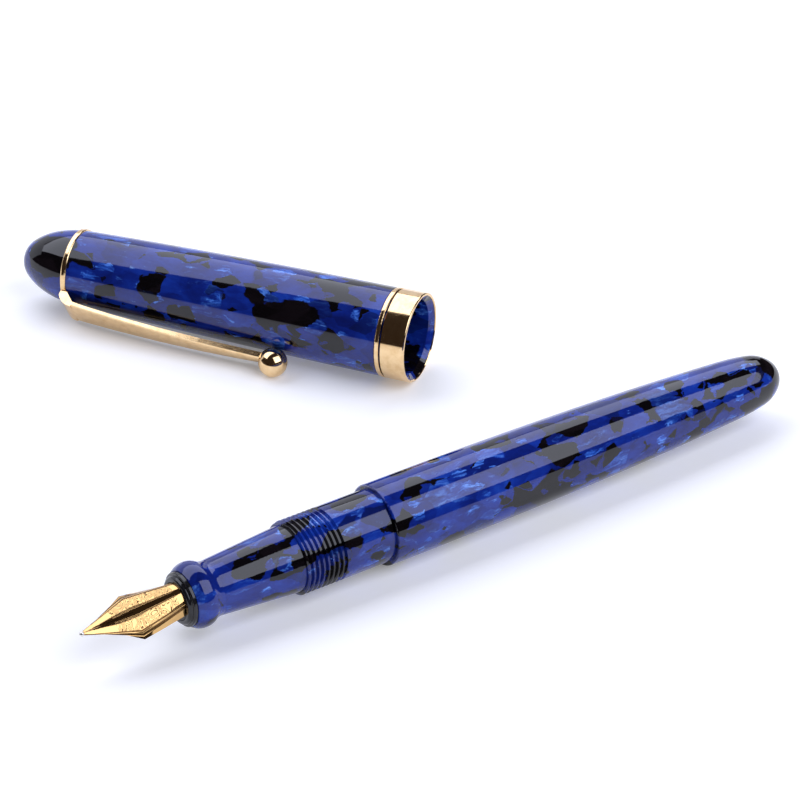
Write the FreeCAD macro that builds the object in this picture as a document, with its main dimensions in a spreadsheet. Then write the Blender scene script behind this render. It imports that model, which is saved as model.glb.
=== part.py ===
import FreeCAD, Part
import Sketcher
import math
import os
import re

# Fountain pen lying uncapped on a table with its screw cap beside it.
# Pen parts are drawn about their own X axis: x = 0 is the step in front of
# the barrel, the nib points to -X.  Cap parts are drawn about their own X
# axis too: x = 0 is the rim of the mouth, the rounded finial is at +X and the
# clip stands out along +Z before the cap is laid down.
os.makedirs("parts", exist_ok=True)
doc = FreeCAD.newDocument("FountainPen")
V = FreeCAD.Vector

# ------------------------------------------------------------------ sheet
# alias, value in mm (or degrees, or a count), note
TABLE = [
    ("origin_x", -13.085, "step of the barrel in the object's frame"),
    ("origin_y", -46.98, "pen axis in the object's frame"),
    ("pen_height", 6.5, "pen axis above the table"),
    ("nib_roll", 25.0, "roll of the nib unit about the pen axis, degrees"),
    ("cap_dx", 35.98, "mouth of the cap from the step, along X"),
    ("cap_dy", 39.95, "mouth of the cap from the pen axis, along Y"),
    ("cap_height", 7.53, "cap axis above the table"),
    ("cap_yaw", 123.66, "direction from the mouth to the finial, degrees"),
    ("ball_reach", 9.85, "clip ball centre from the cap axis"),
    ("ball_radius", 2.45, "clip ball"),
    ("ball_station", 22.7, "clip ball centre from the mouth"),
    # barrel
    ("barrel_front", 15.7, "length of tenon and thread ahead of the step"),
    ("tenon_radius", 5.85, "smooth tenon and thread crest"),
    ("thread_root", 5.38, "root of the cap thread"),
    ("thread_end", 8.5, "end of the cap thread ahead of the step"),
    ("thread_pitch", 0.86, "pitch of the cap thread"),
    ("step_radius", 6.5, "barrel at the step"),
    ("edge_round", 0.22, "rounding of turned edges"),
    ("barrel_mid_a", 20.0, "station"),
    ("barrel_mid_a_rad", 6.42, "radius"),
    ("barrel_b", 40.0, "station"),
    ("barrel_b_rad", 6.09, "radius"),
    ("barrel_mid_c", 55.0, "station"),
    ("barrel_mid_c_rad", 5.58, "radius"),
    ("barrel_d", 68.0, "station"),
    ("barrel_d_rad", 4.93, "radius"),
    ("barrel_mid_e", 70.76, "station"),
    ("barrel_mid_e_rad", 4.693, "radius"),
    ("barrel_f", 73.5, "station"),
    ("barrel_f_rad", 4.30, "radius"),
    ("barrel_mid_g", 75.23, "station"),
    ("barrel_mid_g_rad", 3.752, "radius"),
    ("barrel_k", 76.75, "station"),
    ("barrel_k_rad", 2.76, "radius"),
    ("barrel_mid_n", 77.70, "station"),
    ("barrel_mid_n_rad", 1.521, "radius"),
    ("barrel_tail", 78.04, "tail end"),
    ("bore_major", 4.80, "root of the female thread in the barrel"),
    ("bore_minor", 4.50, "crest of the female thread in the barrel"),
    ("bore_pitch", 0.9, "pitch of the section thread"),
    ("bore_thread_end", 6.6, "end of the female thread ahead of the step"),
    ("bore_main", 4.45, "main bore of the barrel"),
    ("bore_main_end", 50.0, "end of the main bore"),
    ("bore_tail", 3.6, "bore in the tail"),
    ("bore_tail_end", 66.0, "end of the tail bore"),
    ("bore_tip", 70.0, "bottom of the drilled bore"),
    # section
    ("section_front", 34.0, "front face of the lip"),
    ("lip_face_rad", 4.42, "lip at its front face"),
    ("lip_top", 32.65, "station of the lip's crown"),
    ("lip_top_rad", 5.11, "crown of the lip"),
    ("lip_back", 31.0, "station where the neck starts"),
    ("lip_back_rad", 4.93, "radius there"),
    ("neck_in", 30.2, "station on the hollow of the neck"),
    ("neck_in_rad", 4.52, "radius there"),
    ("neck", 29.3, "narrowest station"),
    ("neck_rad", 4.33, "narrowest radius"),
    ("grip_mid", 22.5, "station half way up the grip"),
    ("grip_mid_rad", 4.82, "radius there"),
    ("grip_end_rad", 5.30, "grip at the barrel's front face"),
    ("section_thread_rad", 4.40, "crest of the section's male thread"),
    ("section_thread_root", 4.08, "root of that thread"),
    ("section_thread_end", 7.6, "end of that thread ahead of the step"),
    ("section_rear", 5.2, "rear end of the section ahead of the step"),
    ("section_bore_front", 3.62, "bore for the nib housing"),
    ("section_bore_step", 24.5, "end of that bore"),
    ("section_bore_rear", 3.72, "bore for the converter"),
    # nib housing
    ("collar_front", 35.3, "front face of the small ring"),
    ("collar_step", 34.68, "between the two rings"),
    ("collar_small", 3.82, "small ring"),
    ("collar_large", 4.26, "large ring"),
    ("housing_gap", 0.05, "clearance between housing and section"),
    ("housing_crest", 3.54, "crest of the housing's male thread"),
    ("housing_root", 3.30, "root of that thread"),
    ("housing_pitch", 0.7, "pitch of the nib unit's thread"),
    ("housing_thread_end", 27.6, "end of that thread"),
    ("housing_shoulder", 24.9, "rear of the housing body"),
    ("housing_bore", 3.0, "bore for feed and nib"),
    ("housing_floor", 26.2, "floor of that bore"),
    ("nipple_rad", 1.50, "nipple that the converter plugs on"),
    ("nipple_end", 16.6, "rear end of the nipple"),
    ("nipple_bore", 0.60, "ink passage"),
    # nib: crest, crease and edge at each station, in the nib's own roll
    ("nib_skin", 0.30, "thickness of the nib"),
    ("nib_rear", 28.6, "rear end inside the housing"),
    ("nib_s1", 35.3, "station at the collar"),
    ("nib_crest_a", 2.93, "crest height at the collar"),
    ("nib_crease_wa", 2.10, "crease half width at the collar"),
    ("nib_crease_ha", 2.05, "crease height at the collar"),
    ("nib_edge_wa", 2.88, "edge half width at the collar"),
    ("nib_edge_ha", 0.40, "edge height at the collar"),
    ("nib_s2", 39.2, "station"),
    ("nib_crest_b", 2.30, "crest height"),
    ("nib_crease_wb", 2.62, "crease half width"),
    ("nib_crease_hb", 1.45, "crease height"),
    ("nib_edge_wb", 3.50, "edge half width"),
    ("nib_edge_hb", 0.28, "edge height"),
    ("nib_s3", 42.9, "station of the shoulders"),
    ("nib_crest_c", 1.75, "crest height"),
    ("nib_crease_wc", 3.10, "crease half width"),
    ("nib_crease_hc", 0.92, "crease height"),
    ("nib_edge_wc", 4.02, "edge half width"),
    ("nib_edge_hc", 0.20, "edge height"),
    ("nib_s4", 45.3, "station where crease and edge meet"),
    ("nib_crest_d", 1.52, "crest height"),
    ("nib_crease_wd", 2.50, "crease half width"),
    ("nib_crease_hd", 0.93, "crease height"),
    ("nib_edge_wd", 2.68, "edge half width"),
    ("nib_edge_hd", 0.80, "edge height"),
    ("nib_s5", 48.4, "station"),
    ("nib_crest_e", 1.38, "crest height"),
    ("nib_crease_we", 1.20, "crease half width"),
    ("nib_crease_he", 1.08, "crease height"),
    ("nib_edge_we", 1.34, "edge half width"),
    ("nib_edge_he", 1.00, "edge height"),
    ("nib_s6", 51.3, "station at the tipping"),
    ("nib_crest_f", 1.30, "crest height"),
    ("nib_crease_wf", 0.26, "crease half width"),
    ("nib_crease_hf", 1.20, "crease height"),
    ("nib_edge_wf", 0.34, "edge half width"),
    ("nib_edge_hf", 1.12, "edge height"),
    ("slit_width", 0.10, "slit between the tines"),
    ("slit_end", 43.0, "inner end of the slit"),
    ("tipping_rad", 0.42, "hard point"),
    ("tipping_station", 51.45, "its centre"),
    ("tipping_height", 1.02, "its centre above the pen axis"),
    # feed
    ("feed_rear", 26.4, "rear end of the feed"),
    ("feed_rad", 2.45, "feed under the nib"),
    ("feed_keel", 2.92, "lower half of the feed inside the housing"),
    ("feed_top", 2.28, "flat top under the nib's crest"),
    ("feed_ledge", 0.20, "ledge that the edges of the nib rest above"),
    ("feed_tip", 48.2, "front end of the feed"),
    ("fin_pitch", 0.55, "pitch of the fins"),
    ("fin_slot", 0.26, "slot between two fins"),
    ("fin_count", 12, "slots"),
    ("fin_first", 42.6, "front slot"),
    # converter
    ("sleeve_front", 19.6, "front of the mouth sleeve"),
    ("sleeve_rear", 8.6, "rear of the mouth sleeve"),
    ("sleeve_rad", 3.45, "outside of the mouth sleeve"),
    ("tube_rad", 3.10, "outside of the clear tube"),
    ("tube_bore", 2.60, "bore of the clear tube"),
    ("tube_front", 19.3, "front of the clear tube"),
    ("tube_floor", 14.9, "inner floor of the tube's mouth"),
    ("tube_mouth", 1.52, "mouth hole that takes the nipple"),
    ("tube_rear", 16.0, "rear of the clear tube behind the step"),
    ("seal_front", 13.2, "front of the piston seal ahead of the step"),
    ("seal_length", 4.0, "length of the seal"),
    ("seal_rad", 2.57, "seal lips"),
    ("rod_rad", 1.30, "piston rod thread crest"),
    ("rod_root", 1.02, "piston rod thread root"),
    ("rod_pitch", 2.5, "lead of the piston rod"),
    ("rod_rear", 22.0, "rear end of the rod behind the step"),
    ("guide_rad", 2.58, "rod guide in the tube's rear end"),
    ("guide_front", 13.0, "front of the guide"),
    ("guide_flange", 17.0, "rear of the guide's flange"),
    ("shell_front", 11.0, "front of the metal collar"),
    ("shell_rear", 30.0, "rear of the metal collar"),
    ("shell_rad", 3.50, "outside of the metal collar"),
    ("shell_bore", 3.12, "bore of the metal collar"),
    ("shell_mouth", 2.45, "rear hole of the metal collar"),
    ("knob_spigot", 17.4, "front end of the knob's spigot"),
    ("knob_spigot_rad", 2.40, "spigot that turns in the metal collar"),
    ("knob_collar_rad", 3.02, "spigot's retaining ring"),
    ("knob_front", 30.3, "front of the grip"),
    ("knob_rear", 46.0, "rear of the grip"),
    ("knob_rad", 3.20, "grip of the knob"),
    ("knob_bore", 1.42, "hollow that takes the rod"),
    ("knob_bore_end", 44.2, "end of the hollow"),
    ("knob_flute", 0.35, "flute radius"),
    ("knob_flutes", 16, "flutes round the knob"),
    # cap
    ("cap_rim_rad", 7.53, "wide band outside"),
    ("cap_face", 0.22, "end face of the shell inside the band"),
    ("cap_lip", 0.95, "end of the flare at the mouth"),
    ("cap_band_end", 4.18, "end of the wide band"),
    ("cap_groove_end", 4.42, "start of the narrow ring"),
    ("cap_trim_end", 5.20, "end of the narrow ring"),
    ("cap_seat_rad", 7.03, "shell under the bands"),
    ("shell_start_rad", 7.43, "cap shell behind the bands"),
    ("cap_mid", 33.0, "station"),
    ("cap_mid_rad", 7.13, "radius"),
    ("cap_end", 61.4, "end of the shell"),
    ("cap_end_rad", 6.38, "radius"),
    ("cap_mouth_bore", 6.15, "plain bore at the mouth"),
    ("cap_mouth_end", 8.4, "end of that bore"),
    ("cap_thread_minor", 5.52, "crest of the cap's thread"),
    ("cap_thread_major", 5.92, "root of the cap's thread"),
    ("cap_thread_stop", 13.6, "end of the cap's thread"),
    ("cap_bore", 6.00, "bore behind the thread"),
    ("cap_bore_end", 33.9, "shoulder that the inner cap stands on"),
    ("cap_inner_bore", 5.60, "bore for the inner cap"),
    ("cap_inner_end", 56.6, "bottom of that bore"),
    ("inner_cap_rad", 5.60, "inner cap outside"),
    ("inner_cap_bore", 4.78, "inner cap inside"),
    ("inner_cap_floor", 55.0, "inner cap closed end"),
    ("stud_rad", 2.50, "finial stud"),
    ("stud_end", 57.2, "end of the finial stud"),
    ("ring_end", 62.4, "far face of the clip ring"),
    ("ring_rad", 6.60, "clip ring outside"),
    ("finial_rad", 6.30, "finial at the ring"),
    ("finial_mid_a", 64.74, "station"),
    ("finial_mid_a_rad", 5.93, "radius"),
    ("finial_b", 67.0, "station"),
    ("finial_b_rad", 5.25, "radius"),
    ("finial_mid_c", 68.76, "station"),
    ("finial_mid_c_rad", 4.41, "radius"),
    ("finial_d", 70.36, "station"),
    ("finial_d_rad", 3.29, "radius"),
    ("finial_mid_e", 71.497, "station"),
    ("finial_mid_e_rad", 1.817, "radius"),
    ("finial_tip", 71.9, "end of the finial"),
    # clip
    ("clip_skin", 0.45, "thickness of the clip sheet"),
    ("clip_root_station", 62.3, "start of the clip at the ring"),
    ("clip_bend", 61.45, "station on the bend"),
    ("clip_bend_top", 7.98, "height of the bend there"),
]
# sections of the clip: station from the mouth, height of the outer face above
# the cap axis, half width, depth of the folded sides
for mark, station, top, half, deep in (
    ("p", 24.4, 10.12, 0.85, 1.25),
    ("q", 29.0, 10.14, 1.12, 1.22),
    ("r", 36.0, 10.06, 1.50, 1.08),
    ("s", 44.0, 9.76, 1.90, 0.92),
    ("t", 52.0, 9.28, 2.28, 0.80),
    ("u", 57.5, 8.86, 2.50, 0.82),
    ("v", 59.5, 8.68, 2.55, 0.90),
):
    TABLE.append(("clip_station_" + mark, station, "section of the clip, from the mouth"))
    TABLE.append(("clip_top_" + mark, top, "its outer face from the cap axis"))
    TABLE.append(("clip_half_" + mark, half, "its half width"))
    TABLE.append(("clip_deep_" + mark, deep, "depth of its folded sides"))
sheet = doc.addObject("Spreadsheet::Sheet", "Dims")
D = {}
for row, (alias, value, note) in enumerate(TABLE, start=1):
    sheet.set("A%d" % row, alias)
    sheet.set("B%d" % row, repr(value))
    sheet.set("C%d" % row, note)
    sheet.setAlias("B%d" % row, alias)
    D[alias] = float(value)
doc.recompute()


def num(text):
    """Value of a signed sum of sheet names and numbers, such as 'a - b/2 + 0.3'."""
    total = 0.0
    for sign, term in re.findall(r"([+-]?)([A-Za-z_0-9.*/]+)", str(text).replace(" ", "")):
        value, op = 1.0, "*"
        for token in re.findall(r"[*/]|[A-Za-z_][A-Za-z_0-9]*|[0-9.]+", term):
            if token in "*/":
                op = token
            else:
                x = D[token] if token in D else float(token)
                value = value * x if op == "*" else value / x
        total += -value if sign == "-" else value
    return total


def ref(text):
    """The same sum with its sheet names written as references."""
    return re.sub(r"[A-Za-z_][A-Za-z_0-9]*", lambda found: "Dims." + found.group(0), str(text))


def is_number(text):
    return re.fullmatch(r"\s*-?[0-9.]+\s*", str(text)) is not None


def origin_feature(body, role):
    return [feature for feature in body.Origin.OriginFeatures if feature.Role == role][0]


def new_body(label):
    body = doc.addObject("PartDesign::Body", label)
    body.Label = label
    return body


def new_sketch(body, name, role, offset=None):
    sketch = body.newObject("Sketcher::SketchObject", name)
    sketch.AttachmentSupport = [(origin_feature(body, role), "")]
    sketch.MapMode = "FlatFace"
    if offset is not None:
        sketch.setExpression("AttachmentOffset.Base.z", ref(offset))
        sketch.AttachmentOffset = FreeCAD.Placement(V(0, 0, num(offset)), FreeCAD.Rotation())
    return sketch


def pin(sketch, geo, pos, point):
    """Fix one vertex at its two coordinates, each bound to the sheet."""
    for kind, axis, text in (("DistanceX", -2, point[0]), ("DistanceY", -1, point[1])):
        value = num(text)
        if abs(value) < 1e-9:
            sketch.addConstraint(Sketcher_constraint("PointOnObject", geo, pos, axis))
        else:
            index = sketch.addConstraint(Sketcher_constraint(kind, geo, pos, value))
            if not is_number(text):
                sketch.setExpression("Constraints[%d]" % index, ref(text))


def Sketcher_constraint(kind, *args):
    if kind in ("DistanceX", "DistanceY"):
        return Sketcher.Constraint(kind, args[0], args[1], args[2])
    return Sketcher.Constraint(kind, *args)


def arc_through(pa, pm, pb):
    """Counter-clockwise arc through three points, and whether it starts at pb."""
    ax, ay, bx, by, cx, cy = pa.x, pa.y, pm.x, pm.y, pb.x, pb.y
    det = 2.0 * (ax * (by - cy) + bx * (cy - ay) + cx * (ay - by))
    ux = ((ax**2 + ay**2) * (by - cy) + (bx**2 + by**2) * (cy - ay) + (cx**2 + cy**2) * (ay - by)) / det
    uy = ((ax**2 + ay**2) * (cx - bx) + (bx**2 + by**2) * (ax - cx) + (cx**2 + cy**2) * (bx - ax)) / det
    centre = V(ux, uy, 0)
    radius = (pa - centre).Length
    flip = (bx - ax) * (cy - ay) - (by - ay) * (cx - ax) < 0
    first, last = (pb, pa) if flip else (pa, pb)
    start = math.atan2(first.y - uy, first.x - ux)
    end = math.atan2(last.y - uy, last.x - ux)
    while end <= start:
        end += 2.0 * math.pi
    return Part.ArcOfCircle(Part.Circle(centre, V(0, 0, 1), radius), start, end), flip


def outline(sketch, points):
    """Closed profile.  points: (x, y) corners; (x, y, mx, my) is a corner that an
    arc through (mx, my) leaves towards the next corner."""
    count = len(points)
    geos = []
    for i in range(count):
        a, b = points[i], points[(i + 1) % count]
        pa, pb = V(num(a[0]), num(a[1]), 0), V(num(b[0]), num(b[1]), 0)
        if len(a) == 4:
            pm = V(num(a[2]), num(a[3]), 0)
            arc, flip = arc_through(pa, pm, pb)
            geo = sketch.addGeometry(arc, False)
            mid = sketch.addGeometry(Part.Point(pm), True)
            sketch.addConstraint(Sketcher_constraint("PointOnObject", mid, 1, geo))
            pin(sketch, mid, 1, (a[2], a[3]))
            geos.append((geo, 2 if flip else 1, 1 if flip else 2))
        else:
            geo = sketch.addGeometry(Part.LineSegment(pa, pb), False)
            geos.append((geo, 1, 2))
    for i in range(count):
        geo, start, end = geos[i]
        after = geos[(i + 1) % count]
        sketch.addConstraint(Sketcher_constraint("Coincident", geo, end, after[0], after[1]))
    for i in range(count):
        pin(sketch, geos[i][0], geos[i][1], points[i])
    return sketch


def revolve(body, name, points, groove=False):
    sketch = outline(new_sketch(body, name + "_profile", "XZ_Plane"), points)
    kind = "PartDesign::Groove" if groove else "PartDesign::Revolution"
    feature = body.newObject(kind, name)
    feature.Profile = sketch
    feature.ReferenceAxis = (sketch, ["H_Axis"])
    feature.Angle = 360
    body.Tip = feature
    doc.recompute()
    return feature


def thread(body, name, points, pitch, length):
    """Helical groove with a trapezoid section along the part's own axis."""
    before = body.Tip.Shape.Volume
    sketch = outline(new_sketch(body, name + "_profile", "XZ_Plane"), points)
    doc.recompute()
    helix = body.newObject("PartDesign::SubtractiveHelix", name)
    helix.Profile = sketch
    helix.ReferenceAxis = (sketch, ["H_Axis"])
    helix.Mode = 0
    helix.Pitch = num(pitch)
    helix.Height = num(length)
    helix.setExpression("Pitch", ref(pitch))
    helix.setExpression("Height", ref(length))
    helix.Angle = 0
    body.Tip = helix
    doc.recompute()
    after = helix.Shape.Volume
    if not after < before - 0.5:
        raise RuntimeError("thread %s cut nothing: %.3f %.3f" % (name, before, after))
    return helix


NODES = []


def keep(obj, label):
    obj.Label = label
    NODES.append((obj, label))
    return obj


def pen_place(obj, roll=None, extra=None):
    """Lay a pen part down on the pen axis."""
    obj.setExpression("Placement.Base.x", "Dims.origin_x")
    obj.setExpression("Placement.Base.y", "Dims.origin_y")
    obj.setExpression("Placement.Base.z", "Dims.pen_height")
    if roll is not None:
        obj.Placement = FreeCAD.Placement(V(0, 0, 0), FreeCAD.Rotation(V(1, 0, 0), num(roll)))
        obj.setExpression("Placement.Rotation.Angle", ref(roll))
    return obj


# the cap rolls on the table until its clip ball touches down as well
CAP_SLOPE = math.degrees(math.asin((D["cap_height"] - D["ball_radius"]) / D["ball_reach"]))
CAP_ROLL = -(90.0 + CAP_SLOPE)


def cap_place(obj):
    """Lay a cap part down: turn it about its axis, then point it at the finial."""
    turn = FreeCAD.Rotation(V(0, 0, 1), D["cap_yaw"]).multiply(FreeCAD.Rotation(V(1, 0, 0), CAP_ROLL))
    obj.Placement = FreeCAD.Placement(V(0, 0, 0), turn)
    obj.setExpression("Placement.Base.x", "Dims.origin_x + Dims.cap_dx")
    obj.setExpression("Placement.Base.y", "Dims.origin_y + Dims.cap_dy")
    obj.setExpression("Placement.Base.z", "Dims.cap_height")
    return obj


# ----------------------------------------------------------------- barrel
barrel = new_body("barrel")
revolve(barrel, "barrel_turning", [
    ("-barrel_front", "bore_minor"),
    ("-barrel_front", "tenon_radius - 0.2"),
    ("-barrel_front + 0.2", "tenon_radius"),
    ("0", "tenon_radius"),
    ("0", "step_radius - edge_round", "edge_round*0.293", "step_radius - edge_round*0.293"),
    ("edge_round", "step_radius", "barrel_mid_a", "barrel_mid_a_rad"),
    ("barrel_b", "barrel_b_rad", "barrel_mid_c", "barrel_mid_c_rad"),
    ("barrel_d", "barrel_d_rad", "barrel_mid_e", "barrel_mid_e_rad"),
    ("barrel_f", "barrel_f_rad", "barrel_mid_g", "barrel_mid_g_rad"),
    ("barrel_k", "barrel_k_rad", "barrel_mid_n", "barrel_mid_n_rad"),
    ("barrel_tail", "0"),
    ("bore_tip", "0"),
    ("bore_tail_end", "bore_tail"),
    ("bore_main_end", "bore_tail"),
    ("bore_main_end - 1.0", "bore_main"),
    ("-bore_thread_end + 1.2", "bore_main"),
    ("-bore_thread_end + 1.0", "bore_major"),
    ("-bore_thread_end", "bore_major"),
    ("-bore_thread_end - 0.3", "bore_minor"),
])
thread(barrel, "cap_thread", [
    ("-barrel_front - 0.86", "tenon_radius + 0.1"),
    ("-barrel_front - 0.55", "thread_root"),
    ("-barrel_front - 0.37", "thread_root"),
    ("-barrel_front - 0.06", "tenon_radius + 0.1"),
], "thread_pitch", "barrel_front - thread_end + 0.2")
thread(barrel, "bore_thread", [
    ("-barrel_front - 0.95", "bore_minor - 0.06"),
    ("-barrel_front - 0.70", "bore_major"),
    ("-barrel_front - 0.50", "bore_major"),
    ("-barrel_front - 0.25", "bore_minor - 0.06"),
], "bore_pitch", "barrel_front - bore_thread_end + 0.6")
keep(pen_place(barrel), "barrel")

# ---------------------------------------------------------------- section
section = new_body("section")
revolve(section, "section_turning", [
    ("-section_front", "section_bore_front"),
    ("-section_front", "lip_face_rad", "-lip_top", "lip_top_rad"),
    ("-lip_back", "lip_back_rad", "-neck_in", "neck_in_rad"),
    ("-neck", "neck_rad", "-grip_mid", "grip_mid_rad"),
    ("-barrel_front - 0.02", "grip_end_rad"),
    ("-barrel_front - 0.02", "section_thread_rad - 0.15"),
    ("-barrel_front + 0.25", "section_thread_rad"),
    ("-section_thread_end", "section_thread_rad"),
    ("-section_thread_end + 0.3", "section_thread_root - 0.05"),
    ("-section_rear", "section_thread_root - 0.05"),
    ("-section_rear", "section_bore_rear"),
    ("-section_bore_step", "section_bore_rear"),
    ("-section_bore_step", "section_bore_front"),
])
thread(section, "section_thread", [
    ("-barrel_front + 0.35", "section_thread_rad + 0.06"),
    ("-barrel_front + 0.60", "section_thread_root"),
    ("-barrel_front + 0.80", "section_thread_root"),
    ("-barrel_front + 1.05", "section_thread_rad + 0.06"),
], "bore_pitch", "barrel_front - section_thread_end - 0.2")
keep(pen_place(section), "section")

# ------------------------------------------------------------ nib housing
housing = new_body("nib_housing")
revolve(housing, "housing_turning", [
    ("-collar_front", "housing_bore"),
    ("-collar_front", "collar_small - 0.55", "-collar_front + 0.16", "collar_small - 0.16"),
    ("-collar_front + 0.55", "collar_small"),
    ("-collar_step - 0.1", "collar_small"),
    ("-collar_step", "collar_small + 0.1"),
    ("-collar_step", "collar_large - 0.22", "-collar_step + 0.065", "collar_large - 0.065"),
    ("-collar_step + 0.22", "collar_large"),
    ("-section_front - housing_gap", "collar_large"),
    ("-section_front - housing_gap", "housing_crest - 0.1"),
    ("-section_front + 0.2", "housing_crest"),
    ("-housing_thread_end", "housing_crest"),
    ("-housing_thread_end + 0.3", "housing_root - 0.02"),
    ("-housing_shoulder", "housing_root - 0.02"),
    ("-housing_shoulder", "nipple_rad + 0.5"),
    ("-housing_shoulder + 0.6", "nipple_rad"),
    ("-nipple_end - 0.3", "nipple_rad"),
    ("-nipple_end", "nipple_rad - 0.3"),
    ("-nipple_end", "nipple_bore"),
    ("-housing_floor", "nipple_bore"),
    ("-housing_floor", "housing_bore"),
])
thread(housing, "housing_thread", [
    ("-section_front + 0.25", "housing_crest + 0.06"),
    ("-section_front + 0.42", "housing_root"),
    ("-section_front + 0.56", "housing_root"),
    ("-section_front + 0.73", "housing_crest + 0.06"),
], "housing_pitch", "section_front - housing_thread_end - 0.2")
keep(pen_place(housing), "nib_housing")

# -------------------------------------------------------------------- nib
# Sheet metal: an arched centre panel between two creases, with the sides
# folded down.  Cross sections stand on planes across the pen axis; in the
# YZ plane the sketch's x is Y and its y is Z.
nib = new_body("nib")
stations = [
    ("nib_rear", "a"), ("nib_s1", "a"), ("nib_s2", "b"), ("nib_s3", "c"),
    ("nib_s4", "d"), ("nib_s5", "e"), ("nib_s6", "f"),
]
sections = []
for index, (station, mark) in enumerate(stations):
    crest, cw, ch = "nib_crest_" + mark, "nib_crease_w" + mark, "nib_crease_h" + mark
    ew, eh = "nib_edge_w" + mark, "nib_edge_h" + mark
    sketch = new_sketch(nib, "nib_section_%d" % index, "YZ_Plane", "-" + station)
    inner = "nib_skin"
    side = "nib_skin*0.80"
    outline(sketch, [
        ("-" + cw, ch, "0", crest),
        (cw, ch),
        (ew, eh),
        (ew + " - " + side if mark not in "f" else ew + " - 0.05", eh + " - nib_skin*0.45"),
        (cw + " - nib_skin*0.62", ch + " - nib_skin", "0", crest + " - " + inner),
        ("-" + cw + " + nib_skin*0.62", ch + " - nib_skin"),
        ("-" + ew + " + " + side if mark not in "f" else "-" + ew + " + 0.05", eh + " - nib_skin*0.45"),
        ("-" + ew, eh),
    ])
    sections.append(sketch)
doc.recompute()
loft = nib.newObject("PartDesign::AdditiveLoft", "nib_sheet")
loft.Profile = sections[0]
loft.Sections = sections[1:]
loft.Ruled = True
nib.Tip = loft
doc.recompute()
before = loft.Shape.Volume
slit = outline(new_sketch(nib, "slit_profile", "XY_Plane"), [
    ("-nib_s6 - 1.0", "-slit_width/2"),
    ("-slit_end", "-slit_width/2"),
    ("-slit_end", "slit_width/2"),
    ("-nib_s6 - 1.0", "slit_width/2"),
])
cut = nib.newObject("PartDesign::Pocket", "slit")
cut.Profile = slit
cut.Type = "ThroughAll"
cut.Midplane = True
nib.Tip = cut
doc.recompute()
if not cut.Shape.Volume < before - 0.05:
    raise RuntimeError("the slit cut nothing")
keep(pen_place(nib, "nib_roll"), "nib")

# ---------------------------------------------------------------- tipping
tipping = new_body("nib_tipping")
revolve(tipping, "tipping_ball", [
    ("-tipping_rad", "0", "0", "tipping_rad"),
    ("tipping_rad", "0"),
])
before = tipping.Tip.Shape.Volume
flat = outline(new_sketch(tipping, "tipping_slit_profile", "XY_Plane"), [
    ("-tipping_rad - 0.5", "-slit_width/2"),
    ("tipping_rad + 0.5", "-slit_width/2"),
    ("tipping_rad + 0.5", "slit_width/2"),
    ("-tipping_rad - 0.5", "slit_width/2"),
])
cut = tipping.newObject("PartDesign::Pocket", "tipping_slit")
cut.Profile = flat
cut.Type = "ThroughAll"
cut.Midplane = True
tipping.Tip = cut
doc.recompute()
# the ball sits on the end of the tines, below their crest
roll = math.radians(D["nib_roll"])
tipping.Placement = FreeCAD.Placement(V(0, 0, 0), FreeCAD.Rotation(V(1, 0, 0), D["nib_roll"]))
tipping.setExpression("Placement.Rotation.Angle", "Dims.nib_roll")
tipping.setExpression("Placement.Base.x", "Dims.origin_x - Dims.tipping_station")
tipping.setExpression("Placement.Base.y", "Dims.origin_y - Dims.tipping_height * sin(Dims.nib_roll * 1 deg)")
tipping.setExpression("Placement.Base.z", "Dims.pen_height + Dims.tipping_height * cos(Dims.nib_roll * 1 deg)")
keep(tipping, "nib_tipping")

# ------------------------------------------------------------------- feed
feed = new_body("feed")
revolve(feed, "feed_turning", [
    ("-feed_tip", "0"),
    ("-feed_tip", "0.45"),
    ("-nib_s4", "1.35"),
    ("-nib_s3", "1.95"),
    ("-nib_s2", "2.30"),
    ("-nib_s1 - 0.25", "feed_rad"),
    ("-nib_s1 + 0.5", "feed_rad"),
    ("-nib_s1 + 0.5", "0"),
])
before = feed.Tip.Shape.Volume
top = outline(new_sketch(feed, "feed_top_profile", "XZ_Plane"), [
    ("-feed_tip - 1", "0.55"),
    ("-nib_s5", "0.58"),
    ("-nib_s4", "0.80"),
    ("-nib_s3", "1.02"),
    ("-nib_s2", "1.42"),
    ("-nib_s1", "feed_top"),
    ("-nib_s1 + 1", "feed_top"),
    ("-nib_s1 + 1", "4"),
    ("-feed_tip - 1", "4"),
])
cut = feed.newObject("PartDesign::Pocket", "feed_top_cut")
cut.Profile = top
cut.Type = "ThroughAll"
cut.Midplane = True
feed.Tip = cut
doc.recompute()
if not cut.Shape.Volume < before - 0.05:
    raise RuntimeError("the feed's top cut nothing")
# inside the housing: round keel below, narrower under the nib
before = cut.Shape.Volume
keel = outline(new_sketch(feed, "feed_keel_profile", "YZ_Plane", "-nib_s1"), [
    ("-feed_keel + 0.01", "feed_ledge", "0", "-feed_keel"),
    ("feed_keel - 0.01", "feed_ledge"),
    ("feed_rad - 0.02", "feed_ledge"),
    ("feed_rad*0.9", "feed_rad*0.42"),
    ("feed_rad*0.65", "feed_rad*0.75"),
    ("feed_rad*0.34", "feed_top"),
    ("-feed_rad*0.34", "feed_top"),
    ("-feed_rad*0.65", "feed_rad*0.75"),
    ("-feed_rad*0.9", "feed_rad*0.42"),
    ("-feed_rad + 0.02", "feed_ledge"),
])
pad = feed.newObject("PartDesign::Pad", "feed_keel_body")
pad.Profile = keel
pad.Length = num("nib_s1 - feed_rear")
pad.setExpression("Length", "Dims.nib_s1 - Dims.feed_rear")
feed.Tip = pad
doc.recompute()
if not (pad.Shape.BoundBox.XMax > -num("feed_rear") - 0.1 and pad.Shape.Volume > before + 50):
    raise RuntimeError("the feed's keel points the wrong way")
cut = pad
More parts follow.
